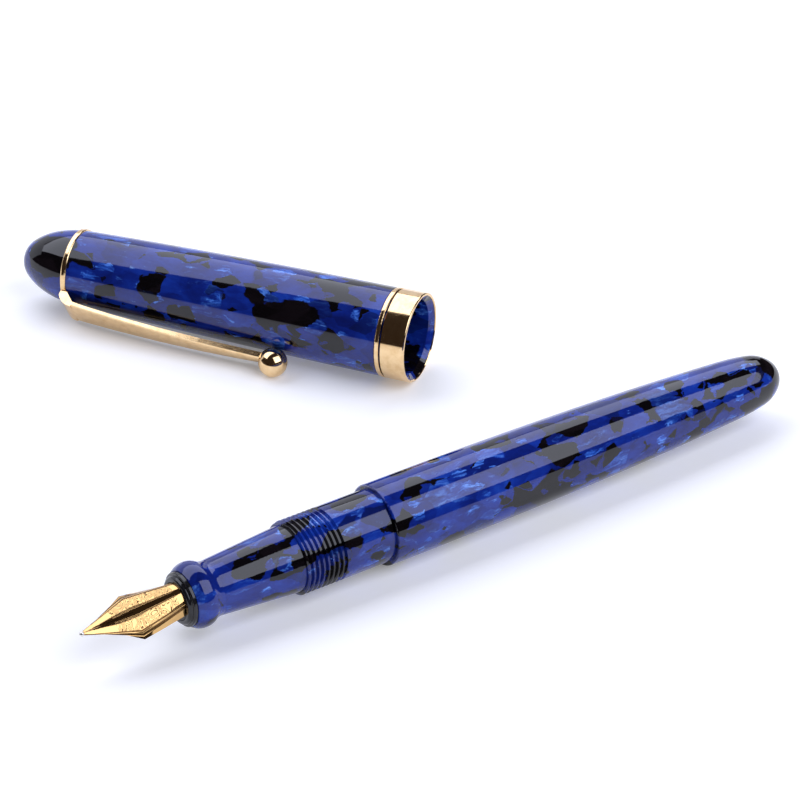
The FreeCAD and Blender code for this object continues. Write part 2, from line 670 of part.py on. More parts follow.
# shoulders of the feed kept inside the folded sides of the nib
before = cut.Shape.Volume
slot = outline(new_sketch(feed, "fin_profile", "XZ_Plane"), [
    ("-fin_first", "-4"),
    ("-fin_first + fin_slot", "-4"),
    ("-fin_first + fin_slot", "-0.85"),
    ("-fin_first", "-0.85"),
])
cut = feed.newObject("PartDesign::Pocket", "fin_slot_cut")
cut.Profile = slot
cut.Type = "ThroughAll"
cut.Midplane = True
feed.Tip = cut
doc.recompute()
pattern = feed.newObject("PartDesign::LinearPattern", "fins")
pattern.Originals = [cut]
pattern.Direction = (slot, ["H_Axis"])
pattern.Length = num("fin_pitch*fin_count - fin_pitch")
pattern.setExpression("Length", "Dims.fin_pitch * (Dims.fin_count - 1)")
pattern.Occurrences = int(D["fin_count"])
pattern.setExpression("Occurrences", "Dims.fin_count")
feed.Tip = pattern
doc.recompute()
if not pattern.Shape.Volume < before - 2.0:
    raise RuntimeError("the fins cut too little: %.3f" % (before - pattern.Shape.Volume))
channel = outline(new_sketch(feed, "channel_profile", "XY_Plane"), [
    ("-feed_tip - 1", "-0.12"),
    ("-feed_rear + 1", "-0.12"),
    ("-feed_rear + 1", "0.12"),
    ("-feed_tip - 1", "0.12"),
])
before = pattern.Shape.Volume
cut = feed.newObject("PartDesign::Pocket", "ink_channel")
cut.Profile = channel
cut.Type = "ThroughAll"
cut.Reversed = True
feed.Tip = cut
doc.recompute()
if not cut.Shape.Volume < before - 0.5:
    cut.Reversed = False
    doc.recompute()
    if not cut.Shape.Volume < before - 0.5:
        raise RuntimeError("the ink channel cut nothing")
keep(pen_place(feed, "nib_roll"), "feed")

# -------------------------------------------------------------- converter
tube = new_body("converter_tube")
revolve(tube, "tube_turning", [
    ("-tube_front", "tube_mouth"),
    ("-tube_front", "tube_rad - 0.3"),
    ("-tube_front + 0.3", "tube_rad"),
    ("tube_rear", "tube_rad"),
    ("tube_rear", "tube_bore"),
    ("-tube_floor", "tube_bore"),
    ("-tube_floor", "tube_mouth"),
])
keep(pen_place(tube), "converter_tube")

sleeve = new_body("converter_sleeve")
revolve(sleeve, "sleeve_turning", [
    ("-sleeve_front", "tube_rad - 0.5"),
    ("-sleeve_front", "sleeve_rad - 0.15"),
    ("-sleeve_front + 0.15", "sleeve_rad"),
    ("-sleeve_rear", "sleeve_rad"),
    ("-sleeve_rear", "tube_rad"),
    ("-tube_front + 0.3", "tube_rad"),
    ("-tube_front", "tube_rad - 0.3"),
    ("-tube_front", "tube_rad - 0.5"),
])
keep(pen_place(sleeve), "converter_sleeve")

seal = new_body("piston_seal")
revolve(seal, "seal_turning", [
    ("-seal_front", "0"),
    ("-seal_front", "seal_rad - 0.35"),
    ("-seal_front + 0.25", "seal_rad"),
    ("-seal_front + 0.9", "seal_rad"),
    ("-seal_front + 1.2", "seal_rad - 0.3"),
    ("-seal_front + seal_length - 1.2", "seal_rad - 0.3"),
    ("-seal_front + seal_length - 0.9", "seal_rad"),
    ("-seal_front + seal_length - 0.1", "seal_rad"),
    ("-seal_front + seal_length", "seal_rad - 0.2"),
    ("-seal_front + seal_length", "0.9"),
    ("-seal_front + 1.5", "0.9"),
    ("-seal_front + 1.5", "0"),
])
keep(pen_place(seal), "piston_seal")

rod = new_body("piston_rod")
revolve(rod, "rod_turning", [
    ("-seal_front + 1.5", "0"),
    ("-seal_front + 1.5", "0.9"),
    ("-seal_front + seal_length", "0.9"),
    ("-seal_front + seal_length", "1.7"),
    ("-seal_front + seal_length + 0.8", "1.7"),
    ("-seal_front + seal_length + 0.8", "rod_rad"),
    ("rod_rear - 0.3", "rod_rad"),
    ("rod_rear", "rod_rad - 0.3"),
    ("rod_rear", "0"),
])
thread(rod, "rod_thread", [
    ("-6.4", "rod_rad + 0.06"),
    ("-6.1", "rod_root"),
    ("-5.3", "rod_root"),
    ("-5.0", "rod_rad + 0.06"),
], "rod_pitch", "rod_rear + 7.0")
before = rod.Tip.Shape.Volume
for name, low, high in (("rod_flat_left", "0.88", "2.2"), ("rod_flat_right", "-2.2", "-0.88")):
    flat = outline(new_sketch(rod, name + "_profile", "XY_Plane"), [
        ("-seal_front + seal_length + 0.9", low),
        ("rod_rear + 1", low),
        ("rod_rear + 1", high),
        ("-seal_front + seal_length + 0.9", high),
    ])
    cut = rod.newObject("PartDesign::Pocket", name)
    cut.Profile = flat
    cut.Type = "ThroughAll"
    cut.Midplane = True
    rod.Tip = cut
    doc.recompute()
    if not cut.Shape.Volume < before - 0.5:
        raise RuntimeError("flat %s cut nothing" % name)
    before = cut.Shape.Volume
keep(pen_place(rod), "piston_rod")

guide = new_body("rod_guide")
revolve(guide, "guide_turning", [
    ("guide_front", "0"),
    ("guide_front", "guide_rad - 0.1"),
    ("guide_front + 0.1", "guide_rad"),
    ("tube_rear", "guide_rad"),
    ("tube_rear", "tube_rad - 0.05"),
    ("guide_flange", "tube_rad - 0.05"),
    ("guide_flange", "0"),
])
# slot with two flats that keeps the rod from turning
before = guide.Tip.Shape.Volume
hole = outline(new_sketch(guide, "guide_hole_profile", "YZ_Plane"), [
    ("-0.93", "-1.05", "0", "-rod_rad - 0.08"),
    ("0.93", "-1.05"),
    ("0.93", "1.05", "0", "rod_rad + 0.08"),
    ("-0.93", "1.05"),
])
cut = guide.newObject("PartDesign::Pocket", "guide_hole")
cut.Profile = hole
cut.Type = "ThroughAll"
cut.Midplane = True
guide.Tip = cut
doc.recompute()
if not cut.Shape.Volume < before - 0.5:
    raise RuntimeError("the guide's hole cut nothing")
keep(pen_place(guide), "rod_guide")

collar = new_body("converter_collar")
revolve(collar, "collar_turning", [
    ("shell_front", "tube_rad"),
    ("shell_front", "shell_rad - 0.15"),
    ("shell_front + 0.15", "shell_rad"),
    ("shell_rear - 0.2", "shell_rad"),
    ("shell_rear", "shell_rad - 0.2"),
    ("shell_rear", "shell_mouth"),
    ("shell_rear - 0.8", "shell_mouth"),
    ("shell_rear - 0.8", "shell_bore"),
    ("guide_flange", "shell_bore"),
    ("guide_flange", "tube_rad"),
])
keep(pen_place(collar), "converter_collar")

knob = new_body("converter_knob")
revolve(knob, "knob_turning", [
    ("knob_spigot", "knob_bore"),
    ("knob_spigot", "knob_collar_rad - 0.1"),
    ("knob_spigot + 0.1", "knob_collar_rad"),
    ("knob_spigot + 2.0", "knob_collar_rad"),
    ("knob_spigot + 2.0", "knob_spigot_rad"),
    ("shell_rear - 2.2", "knob_spigot_rad"),
    ("shell_rear - 2.2", "knob_collar_rad"),
    ("shell_rear - 0.9", "knob_collar_rad"),
    ("shell_rear - 0.9", "knob_spigot_rad"),
    ("knob_front", "knob_spigot_rad"),
    ("knob_front", "knob_rad - 0.3"),
    ("knob_front + 0.3", "knob_rad"),
    ("knob_rear - 0.7", "knob_rad", "knob_rear - 0.2", "knob_rad - 0.2"),
    ("knob_rear", "knob_rad - 0.7"),
    ("knob_rear", "0"),
    ("knob_bore_end", "0"),
    ("knob_bore_end", "knob_bore"),
])
before = knob.Tip.Shape.Volume
flute = new_sketch(knob, "flute_profile", "YZ_Plane", "knob_front + 1.2")
ring = flute.addGeometry(Part.Circle(V(0, num("knob_rad + 0.12"), 0), V(0, 0, 1), D["knob_flute"]), False)
index = flute.addConstraint(Sketcher.Constraint("Radius", ring, D["knob_flute"]))
flute.setExpression("Constraints[%d]" % index, "Dims.knob_flute")
flute.addConstraint(Sketcher.Constraint("PointOnObject", ring, 3, -2))
index = flute.addConstraint(Sketcher.Constraint("DistanceY", ring, 3, num("knob_rad + 0.12")))
flute.setExpression("Constraints[%d]" % index, "Dims.knob_rad + 0.12")
cut = knob.newObject("PartDesign::Pocket", "flute")
cut.Profile = flute
cut.Type = "Length"
cut.Length = num("knob_rear - knob_front - 2.6")
cut.setExpression("Length", "Dims.knob_rear - Dims.knob_front - 2.6")
cut.Reversed = True
knob.Tip = cut
doc.recompute()
if not cut.Shape.Volume < before - 0.2:
    cut.Reversed = False
    doc.recompute()
    if not cut.Shape.Volume < before - 0.2:
        raise RuntimeError("the flute cut nothing")
pattern = knob.newObject("PartDesign::PolarPattern", "flutes")
pattern.Originals = [cut]
pattern.Axis = (flute, ["N_Axis"])
pattern.Angle = 360
pattern.Occurrences = int(D["knob_flutes"])
pattern.setExpression("Occurrences", "Dims.knob_flutes")
knob.Tip = pattern
doc.recompute()
if not pattern.Shape.Volume < before - 2.0:
    raise RuntimeError("the flutes cut too little")
keep(pen_place(knob), "converter_knob")

# -------------------------------------------------------------------- cap
shell = new_body("cap_shell")
revolve(shell, "shell_turning", [
    ("cap_lip", "cap_mouth_bore"),
    ("cap_face", "cap_seat_rad - 0.12"),
    ("cap_face", "cap_seat_rad"),
    ("cap_trim_end + 0.02", "cap_seat_rad"),
    ("cap_trim_end + 0.02", "shell_start_rad - 0.1"),
    ("cap_trim_end + 0.12", "shell_start_rad", "cap_mid", "cap_mid_rad"),
    ("cap_end", "cap_end_rad"),
    ("cap_end", "stud_rad + 0.03"),
    ("cap_inner_end", "stud_rad + 0.03"),
    ("cap_inner_end", "cap_inner_bore"),
    ("cap_bore_end", "cap_inner_bore"),
    ("cap_bore_end", "cap_bore"),
    ("cap_thread_stop + 0.5", "cap_bore"),
    ("cap_thread_stop", "cap_thread_minor"),
    ("cap_mouth_end + 0.5", "cap_thread_minor"),
    ("cap_mouth_end", "cap_mouth_bore"),
])
thread(shell, "mouth_thread", [
    ("cap_mouth_end - 0.60", "cap_thread_minor - 0.06"),
    ("cap_mouth_end - 0.33", "cap_thread_major"),
    ("cap_mouth_end - 0.17", "cap_thread_major"),
    ("cap_mouth_end + 0.10", "cap_thread_minor - 0.06"),
], "thread_pitch", "cap_thread_stop - cap_mouth_end + 0.2")
keep(cap_place(shell), "cap_shell")

band = new_body("cap_band")
revolve(band, "band_turning", [
    ("0.12", "cap_seat_rad"),
    ("0", "cap_seat_rad + 0.12"),
    ("0", "cap_rim_rad - 0.27", "0.08", "cap_rim_rad - 0.08"),
    ("0.27", "cap_rim_rad"),
    ("cap_band_end - 0.1", "cap_rim_rad"),
    ("cap_band_end", "cap_rim_rad - 0.1"),
    ("cap_band_end", "cap_seat_rad"),
])
keep(cap_place(band), "cap_band")

trim = new_body("cap_trim_ring")
revolve(trim, "trim_turning", [
    ("cap_groove_end", "cap_seat_rad"),
    ("cap_groove_end", "cap_rim_rad - 0.15", "cap_groove_end + 0.04", "cap_rim_rad - 0.04"),
    ("cap_groove_end + 0.15", "cap_rim_rad"),
    ("cap_trim_end - 0.15", "cap_rim_rad", "cap_trim_end - 0.04", "cap_rim_rad - 0.04"),
    ("cap_trim_end", "cap_rim_rad - 0.15"),
    ("cap_trim_end", "cap_seat_rad"),
])
keep(cap_place(trim), "cap_trim_ring")

liner = new_body("inner_cap")
revolve(liner, "liner_turning", [
    ("cap_bore_end + 0.05", "inner_cap_bore + 0.25"),
    ("cap_bore_end + 0.05", "inner_cap_rad"),
    ("cap_inner_end - 0.4", "inner_cap_rad"),
    ("cap_inner_end - 0.05", "inner_cap_rad - 0.35"),
    ("cap_inner_end - 0.05", "0"),
    ("inner_cap_floor", "0"),
    ("inner_cap_floor", "inner_cap_bore - 0.5"),
    ("inner_cap_floor - 0.5", "inner_cap_bore"),
    ("cap_bore_end + 0.35", "inner_cap_bore"),
])
keep(cap_place(liner), "inner_cap")

ring_body = new_body("clip_ring")
revolve(ring_body, "ring_turning", [
    ("cap_end", "stud_rad + 0.03"),
    ("cap_end", "ring_rad - 0.25", "cap_end + 0.08", "ring_rad - 0.07"),
    ("cap_end + 0.27", "ring_rad"),
    ("ring_end - 0.27", "ring_rad", "ring_end - 0.08", "ring_rad - 0.07"),
    ("ring_end", "ring_rad - 0.25"),
    ("ring_end", "stud_rad + 0.03"),
])
keep(cap_place(ring_body), "clip_ring")

finial = new_body("cap_finial")
revolve(finial, "finial_turning", [
    ("stud_end", "0"),
    ("stud_end", "stud_rad - 0.3"),
    ("stud_end + 0.3", "stud_rad"),
    ("ring_end", "stud_rad"),
    ("ring_end", "finial_rad", "finial_mid_a", "finial_mid_a_rad"),
    ("finial_b", "finial_b_rad", "finial_mid_c", "finial_mid_c_rad"),
    ("finial_d", "finial_d_rad", "finial_mid_e", "finial_mid_e_rad"),
    ("finial_tip", "0"),
])
keep(cap_place(finial), "cap_finial")

# ------------------------------------------------------------------- clip
# Folded sheet: a tapered channel, open towards the cap.  Cross sections lie
# on planes across the cap's axis, with the sketch's y pointing away from it.
clip = new_body("clip_arm")
sections = []
for index, mark in enumerate("pqrstuv"):
    h, w, d = "clip_top_" + mark, "clip_half_" + mark, "clip_deep_" + mark
    sketch = new_sketch(clip, "clip_section_%d" % index, "YZ_Plane", "clip_station_" + mark)
    outline(sketch, [
        ("-" + w, h + " - " + d),
        ("-" + w, h + " - 0.30"),
        ("-" + w + " + 0.20", h + " - 0.10", "0", h),
        (w + " - 0.20", h + " - 0.10"),
        (w, h + " - 0.30"),
        (w, h + " - " + d),
        (w + " - clip_skin*0.72", h + " - " + d),
        (w + " - clip_skin*0.72", h + " - clip_skin - 0.05"),
        ("-" + w + " + clip_skin*0.72", h + " - clip_skin - 0.05"),
        ("-" + w + " + clip_skin*0.72", h + " - " + d),
    ])
    sections.append(sketch)
doc.recompute()
loft = clip.newObject("PartDesign::AdditiveLoft", "clip_channel")
loft.Profile = sections[0]
loft.Sections = sections[1:]
loft.Ruled = True
clip.Tip = loft
doc.recompute()
# the bend that joins the channel to the ring, drawn from the side
bend = outline(new_sketch(clip, "bend_profile", "XZ_Plane"), [
    ("clip_station_v", "clip_top_v - 0.02", "clip_bend", "clip_bend_top"),
    ("clip_root_station - 0.05", "ring_rad + 0.38"),
    ("clip_root_station - 0.05", "ring_rad - 0.6"),
    ("ring_end - 1.15", "ring_rad - 0.6"),
    ("clip_station_v", "clip_top_v - clip_deep_v"),
])
pad = clip.newObject("PartDesign::Pad", "clip_bend_pad")
pad.Profile = bend
pad.Length = num("clip_half_v*2")
pad.setExpression("Length", "Dims.clip_half_v * 2")
pad.Midplane = True
clip.Tip = pad
doc.recompute()
# the root straddles the ring
before = pad.Shape.Volume
saddle = outline(new_sketch(clip, "saddle_profile", "XZ_Plane"), [
    ("clip_station_u", "0"),
    ("clip_station_u", "ring_rad + 0.10"),
    ("ring_end + 1", "ring_rad + 0.10"),
    ("ring_end + 1", "0"),
])
groove = clip.newObject("PartDesign::Groove", "saddle")
groove.Profile = saddle
groove.ReferenceAxis = (saddle, ["H_Axis"])
groove.Angle = 360
clip.Tip = groove
doc.recompute()
if not groove.Shape.Volume < before - 0.05:
    raise RuntimeError("the saddle cut nothing")
keep(cap_place(clip), "clip_arm")

ball = new_body("clip_ball")
revolve(ball, "ball_turning", [
    ("-ball_radius", "0", "0", "ball_radius"),
    ("ball_radius", "0"),
])
ball.Placement = FreeCAD.Placement(V(0, 0, 0), FreeCAD.Rotation(V(0, 0, 1), D["cap_yaw"]).multiply(
    FreeCAD.Rotation(V(1, 0, 0), CAP_ROLL)))
yaw, slope = math.radians(D["cap_yaw"]), math.radians(CAP_SLOPE)
out = V(-math.sin(yaw) * math.cos(slope), math.cos(yaw) * math.cos(slope), -math.sin(slope))
along = V(math.cos(yaw), math.sin(yaw), 0)
where = V(D["origin_x"] + D["cap_dx"], D["origin_y"] + D["cap_dy"], D["cap_height"]) + along * D["ball_station"] + out * D["ball_reach"]
ball.Placement.Base = where
keep(ball, "clip_ball")

# ----------------------------------------------------------------- output
doc.recompute()
for obj in doc.Objects:
    if "Invalid" in obj.State or "Error" in obj.State:
        raise RuntimeError("%s failed: %s" % (obj.Name, obj.State))
for obj, label in NODES:
    shape = obj.Shape
    if shape.isNull() or not shape.isValid() or len(shape.Solids) < 1:
        raise RuntimeError("%s has no valid solid" % label)
    shape.exportStep("parts/%s.step" % label)
    box = shape.BoundBox
    print("%-18s solids %d volume %8.2f" % (label, len(shape.Solids), shape.Volume))
print("nodes", len(NODES))
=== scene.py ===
import math

import bpy
from mathutils import Matrix, Vector


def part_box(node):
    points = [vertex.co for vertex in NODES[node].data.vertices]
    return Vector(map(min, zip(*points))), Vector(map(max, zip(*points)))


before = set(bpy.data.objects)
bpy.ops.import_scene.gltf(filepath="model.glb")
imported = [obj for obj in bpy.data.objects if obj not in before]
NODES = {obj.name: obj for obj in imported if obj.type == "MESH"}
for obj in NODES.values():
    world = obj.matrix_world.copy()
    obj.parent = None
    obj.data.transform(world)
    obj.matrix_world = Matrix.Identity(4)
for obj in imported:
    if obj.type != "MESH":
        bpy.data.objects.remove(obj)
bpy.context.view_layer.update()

# ------------------------------------------------------------------ places
# the pen's axis is read from the imported barrel; the cap's mouth, the cap's yaw and the nib's roll are given numbers
b_lo, b_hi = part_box("barrel")
PEN_Y = (b_lo.y + b_hi.y) / 2
PEN_Z = (b_lo.z + b_hi.z) / 2
TAIL_X = b_hi.x
STEP_X = TAIL_X - 0.07804
CAP_YAW = math.radians(123.66)
NIB_ROLL = math.radians(25.0)
CAP_MOUTH = Vector((STEP_X + 0.03598, PEN_Y + 0.03995, 0.00753))

# --------------------------------------------------------- node tree helper


class Tree:
    """Short calls for building a material's node tree."""

    def __init__(self, name):
        self.mat = bpy.data.materials.new(name)
        self.mat.use_nodes = True
        self.nt = self.mat.node_tree
        self.nt.nodes.clear()
        self.out = self.nt.nodes.new("ShaderNodeOutputMaterial")
        self.shader = self.nt.nodes.new("ShaderNodeBsdfPrincipled")
        self.nt.links.new(self.shader.outputs[0], self.out.inputs["Surface"])

    def node(self, kind, **props):
        n = self.nt.nodes.new(kind)
        for k, v in props.items():
            setattr(n, k, v)
        return n

    def link(self, a, b):
        self.nt.links.new(a, b)
        return b

    def put(self, socket, value):
        if hasattr(value, "is_output") or isinstance(value, bpy.types.NodeSocket):
            self.nt.links.new(value, socket)
        else:
            socket.default_value = value

    def math(self, op, a, b=None, c=None, clamp=False):
        n = self.node("ShaderNodeMath", operation=op, use_clamp=clamp)
        self.put(n.inputs[0], a)
        if b is not None:
            self.put(n.inputs[1], b)
        if c is not None:
            self.put(n.inputs[2], c)
        return n.outputs[0]

    def vmath(self, op, a, b=None):
        n = self.node("ShaderNodeVectorMath", operation=op)
        self.put(n.inputs[0], a)
        if b is not None:
            self.put(n.inputs[1], b)
        return n.outputs[0]

    def scale(self, v, s):
        n = self.node("ShaderNodeVectorMath", operation="SCALE")
        self.put(n.inputs[0], v)
        self.put(n.inputs["Scale"], s)
        return n.outputs[0]

    def coords(self, origin=(0, 0, 0), turn=(0, 0, 0), stretch=(1, 1, 1)):
        """object coordinates in millimetres, from origin, turned back by turn"""
        tc = self.node("ShaderNodeTexCoord")
        moved = self.vmath("SUBTRACT", tc.outputs["Object"], tuple(origin))
        rot = self.node("ShaderNodeVectorRotate", rotation_type="EULER_XYZ", invert=True)
        self.put(rot.inputs["Vector"], moved)
        rot.inputs["Rotation"].default_value = turn
        return self.vmath("MULTIPLY", rot.outputs[0], tuple(1000.0 * s for s in stretch))

    def noise(self, vec, scale, detail=3.0, rough=0.5, distort=0.0):
        n = self.node("ShaderNodeTexNoise")
        self.put(n.inputs["Vector"], vec)
        n.inputs["Scale"].default_value = scale
        n.inputs["Detail"].default_value = detail
        n.inputs["Roughness"].default_value = rough
        n.inputs["Distortion"].default_value = distort
        return n

    def voronoi(self, vec, scale, feature="F1", randomness=1.0):
        n = self.node("ShaderNodeTexVoronoi", feature=feature)
        self.put(n.inputs["Vector"], vec)
        n.inputs["Scale"].default_value = scale
        n.inputs["Randomness"].default_value = randomness
        return n

    def ramp(self, fac, stops, interp="LINEAR"):
        n = self.node("ShaderNodeValToRGB")
        n.color_ramp.interpolation = interp
        el = n.color_ramp.elements
        while len(el) > 1:
            el.remove(el[-1])
        el[0].position, el[0].color = stops[0][0], stops[0][1]
        for p, c in stops[1:]:
            e = el.new(p)
            e.color = c
        self.put(n.inputs["Fac"], fac)
        return n.outputs["Color"]

    def step(self, v, lo, hi):
        n = self.node("ShaderNodeMapRange", interpolation_type="SMOOTHSTEP")
        self.put(n.inputs["Value"], v)
        n.inputs["From Min"].default_value = lo
        n.inputs["From Max"].default_value = hi
        return n.outputs["Result"]

    def remap(self, v, lo, hi, a, b):
        n = self.node("ShaderNodeMapRange")
        self.put(n.inputs["Value"], v)
        n.inputs["From Min"].default_value = lo
        n.inputs["From Max"].default_value = hi
        n.inputs["To Min"].default_value = a
        n.inputs["To Max"].default_value = b
        return n.outputs["Result"]

    def mix(self, fac, a, b):
        n = self.node("ShaderNodeMix", data_type="RGBA")
        self.put(n.inputs["Factor"], fac)
        ins = [s for s in n.inputs if s.type == "RGBA"]
        self.put(ins[0], a)
        self.put(ins[1], b)
        return [s for s in n.outputs if s.type == "RGBA"][0]

    def split(self, color):
        n = self.node("ShaderNodeSeparateColor")
        self.put(n.inputs[0], color)
        return n.outputs

    def xyz(self, vec):
        n = self.node("ShaderNodeSeparateXYZ")
        self.put(n.inputs[0], vec)
        return n.outputs

    def bump(self, height, strength, distance):
        n = self.node("ShaderNodeBump")
        n.inputs["Strength"].default_value = strength
        n.inputs["Distance"].default_value = distance
        self.put(n.inputs["Height"], height)
        self.link(n.outputs["Normal"], self.shader.inputs["Normal"])
        return n

    def set(self, **values):
        for k, v in values.items():
            self.put(self.shader.inputs[k.replace("_", " ")], v)


def rgb(r, g, b):
    return (r, g, b, 1.0)


# ---------------------------------------------------------------- materials


def acrylic(name, origin, turn, shift, dark_spots=(), clear_spots=(), gloss=0.045):
    """polished marbled acrylic: angular dark chips and pearly flecks in a deep blue, drawn out along the part's axis"""
    t = Tree(name)
    p = t.coords(origin, turn)
    own = p
    p = t.vmath("ADD", p, shift)
    long = t.vmath("MULTIPLY", p, (0.66, 1.0, 1.0))
    wob = t.noise(long, 0.45, 1.0, 0.4)
    nick = t.noise(long, 2.1, 2.0, 0.5)
    off = t.scale(t.vmath("SUBTRACT", wob.outputs["Color"], (0.5, 0.5, 0.5)), 1.3)
    off2 = t.scale(t.vmath("SUBTRACT", nick.outputs["Color"], (0.5, 0.5, 0.5)), 0.42)
    q = t.vmath("ADD", t.vmath("ADD", long, off), off2)
    cells = t.voronoi(q, 0.36, "SMOOTH_F1")
    cells.inputs["Smoothness"].default_value = 0.10
    r, g, b = t.split(cells.outputs["Color"])[:3]
    small = t.voronoi(t.vmath("ADD", q, (17.0, 5.0, 9.0)), 0.66, "SMOOTH_F1")
    small.inputs["Smoothness"].default_value = 0.12
    sr, sg, sb = t.split(small.outputs["Color"])[:3]
    cloud = t.noise(long, 0.20, 4.0, 0.6, 0.4)
    silk = t.noise(t.vmath("MULTIPLY", q, (0.45, 1.3, 1.3)), 0.8, 6.0, 0.62, 1.1)
    # deep blue ground, cloudy, with a faint grain and a little shift from cell to cell
    tone = t.math("ADD", t.math("MULTIPLY", cloud.outputs["Fac"], 0.70), t.math("MULTIPLY", b, 0.16))
    tone = t.math("ADD", tone, t.math("MULTIPLY", silk.outputs["Fac"], 0.22))
    ground = t.ramp(tone, [
        (0.36, rgb(0.0030, 0.0090, 0.105)),
        (0.50, rgb(0.0042, 0.0170, 0.190)),
        (0.64, rgb(0.0070, 0.0330, 0.300)),
        (0.78, rgb(0.0150, 0.0700, 0.430)),
    ])
    # pearly flecks with a silky grain, soft at their borders
    pearl = t.ramp(silk.outputs["Fac"], [
        (0.34, rgb(0.008, 0.042, 0.34)),
        (0.52, rgb(0.030, 0.125, 0.58)),
        (0.66, rgb(0.120, 0.310, 0.86)),
        (0.78, rgb(0.300, 0.520, 0.95)),
    ])
    ragged = t.math("MULTIPLY", t.math("SUBTRACT", silk.outputs["Fac"], 0.5), 0.55)
    heart = t.math("MULTIPLY", t.math("SUBTRACT", 0.55, small.outputs["Distance"]), 0.10)
    fleck = t.step(t.math("ADD", t.math("ADD", sg, ragged), heart), 0.90, 1.04)
    broad = t.math("MULTIPLY", t.step(t.math("ADD", g, ragged), 0.84, 1.04), 0.50)
    col = t.mix(t.math("MAXIMUM", fleck, broad), ground, pearl)
    # smoky cells, between the blue and the dark chips
    smoke = t.math("MULTIPLY", t.step(r, 0.235, 0.25), t.math("SUBTRACT", 1.0, t.step(r, 0.30, 0.33)))
    col = t.mix(t.math("MULTIPLY", smoke, 0.65), col, rgb(0.0026, 0.0065, 0.050))
    # dark chips, some of them only shards
    dark = t.math("SUBTRACT", 1.0, t.step(r, 0.215, 0.25))
    dark2 = t.math("MULTIPLY", t.math("SUBTRACT", 1.0, t.step(sr, 0.12, 0.16)), t.step(r, 0.62, 0.64))
    bite = t.math("MULTIPLY", t.step(sb, 0.86, 0.88), 0.8)
    chip = t.math("MAXIMUM", t.math("SUBTRACT", dark, bite, clamp=True), dark2)
    # a few large chips and clear places at fixed spots, with the same ragged outline
    torn = t.vmath("ADD", own, t.vmath("ADD", t.scale(off, 2.2), t.scale(off2, 2.0)))
    for spots, sign in ((clear_spots, 0.0), (dark_spots, 1.0)):
        for cx, cy, cz, rx, rr in spots:
            d = t.vmath("MULTIPLY", t.vmath("SUBTRACT", torn, (cx, cy, cz)), (1.0 / rx, 1.0 / rr, 1.0 / rr))
            ln = t.node("ShaderNodeVectorMath", operation="LENGTH")
            t.put(ln.inputs[0], d)
            near = t.math("SUBTRACT", 1.0, t.step(ln.outputs["Value"], 0.95, 1.03))
            if sign:
                chip = t.math("MAXIMUM", chip, near)
            else:
                chip = t.math("MULTIPLY", chip, t.math("SUBTRACT", 1.0, near))
    inky = t.mix(t.step(sb, 0.2, 0.9), rgb(0.0016, 0.0013, 0.0022), rgb(0.0050, 0.0034, 0.0050))
    col = t.mix(chip, col, inky)
    t.set(Base_Color=col)
    t.shader.inputs["IOR"].default_value = 1.5
    fine = t.noise(p, 3.2, 3.0, 0.6)
    t.put(t.shader.inputs["Roughness"], t.remap(fine.outputs["Fac"], 0.3, 0.7, gloss * 0.75, gloss * 1.35))
    t.bump(t.noise(p, 0.5, 2.0).outputs["Fac"], 0.15, 0.00003)
    return t.mat


def gold(name, base, dull, rough=0.09, axis_turn=(0, 0, 0)):
    """polished gold plate with faint cloudiness and hairlines"""
    t = Tree(name)
    p = t.coords((0, 0, 0), axis_turn)
    cloud = t.noise(p, 0.8, 4.0, 0.6)
    hair = t.noise(t.vmath("MULTIPLY", p, (0.25, 6.0, 6.0)), 2.2, 2.0, 0.6)
    col = t.mix(t.step(cloud.outputs["Fac"], 0.35, 0.75), rgb(*base), rgb(*dull))
    t.set(Base_Color=col, Metallic=1.0)
    t.put(t.shader.inputs["Roughness"], t.remap(hair.outputs["Fac"], 0.3, 0.7, rough * 0.7, rough * 1.5))
    t.bump(hair.outputs["Fac"], 0.12, 0.000006)
    return t.mat


def plastic(name, colour, second, rough, scale=2.0, bump=0.00001):
    """moulded or turned resin with a fine tooth"""
    t = Tree(name)
    p = t.coords()
    a = t.noise(p, scale, 4.0, 0.6)
    f = t.noise(p, scale * 9.0, 2.0, 0.6)
    t.set(Base_Color=t.mix(t.step(a.outputs["Fac"], 0.3, 0.7), rgb(*colour), rgb(*second)), IOR=1.5)
    t.put(t.shader.inputs["Roughness"], t.remap(f.outputs["Fac"], 0.3, 0.7, rough * 0.7, rough * 1.4))
    t.bump(f.outputs["Fac"], 0.25, bump)
    return t.mat


def clear(name):
    """clear plastic tube with faint blue tint and fine drawing lines"""
    t = Tree(name)
    p = t.coords()
    f = t.noise(t.vmath("MULTIPLY", p, (0.2, 5.0, 5.0)), 2.0, 3.0, 0.6)
    t.set(Base_Color=t.mix(f.outputs["Fac"], rgb(0.92, 0.96, 0.99), rgb(0.80, 0.88, 0.95)), IOR=1.49)
    t.shader.inputs["Transmission Weight"].default_value = 0.9
    t.put(t.shader.inputs["Roughness"], t.remap(f.outputs["Fac"], 0.3, 0.7, 0.02, 0.09))
    t.bump(f.outputs["Fac"], 0.1, 0.00001)
    return t.mat


